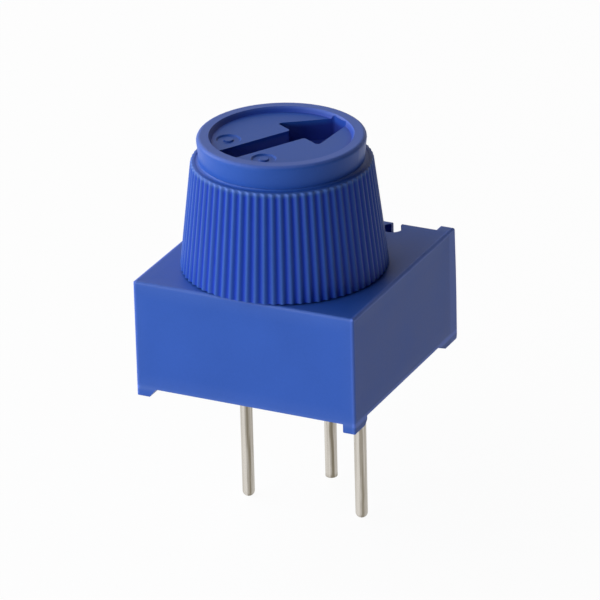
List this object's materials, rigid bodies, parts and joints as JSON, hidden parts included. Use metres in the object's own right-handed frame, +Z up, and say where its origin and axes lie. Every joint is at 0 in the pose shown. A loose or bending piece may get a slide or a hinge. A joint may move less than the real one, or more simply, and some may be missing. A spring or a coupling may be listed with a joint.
{
  "type": "trimmer potentiometer",
  "caption": "Square trimmer potentiometer with a fluted finger knob, a screwdriver slot shaped as an arrow, and straight pins for a printed circuit board.",
  "frame": {"origin": "on the knob's turning axis, in the plane of the board that the housing's feet stand on", "axes": "+Z up along the knob's axis, away from the board; +X to the right along the front face; +Y to the back, towards the wiper pin's side"},
  "size_m": [0.0096, 0.01, 0.0168],
  "materials": {
    "housing_blue": "matte",
    "knob_blue": "matte",
    "head_blue": "satin",
    "potting": "glossy",
    "ceramic": "matte",
    "resistance_film": "matte",
    "conductor_film": "satin",
    "seal_rubber": "matte",
    "spring_metal": "polished",
    "tinned_wire": "satin",
    "solder": "satin"
  },
  "bodies": {
    "base": {"housing": "housing_blue", "o_ring": "seal_rubber", "substrate": "ceramic", "resistance_track": "resistance_film", "collector_track": "conductor_film", "end_terminal_1": "conductor_film", "end_terminal_3": "conductor_film", "solder_joint_1": "solder", "solder_joint_2": "solder", "solder_joint_3": "solder", "pin_1": "tinned_wire", "pin_2": "tinned_wire", "pin_3": "tinned_wire", "epoxy_seal": "potting"},
    "knob": {"rotor": "head_blue", "finger_knob": "knob_blue", "wiper_carrier": "knob_blue", "wiper_spring": "spring_metal"}
  },
  "joints": [
    {"name": "knob_turn", "type": "hinge", "parent": "base", "child": "knob", "pos_m": [0, 0, 0.004], "axis": [0, 0, 1], "range_deg": [-125, 185]}
  ]
}
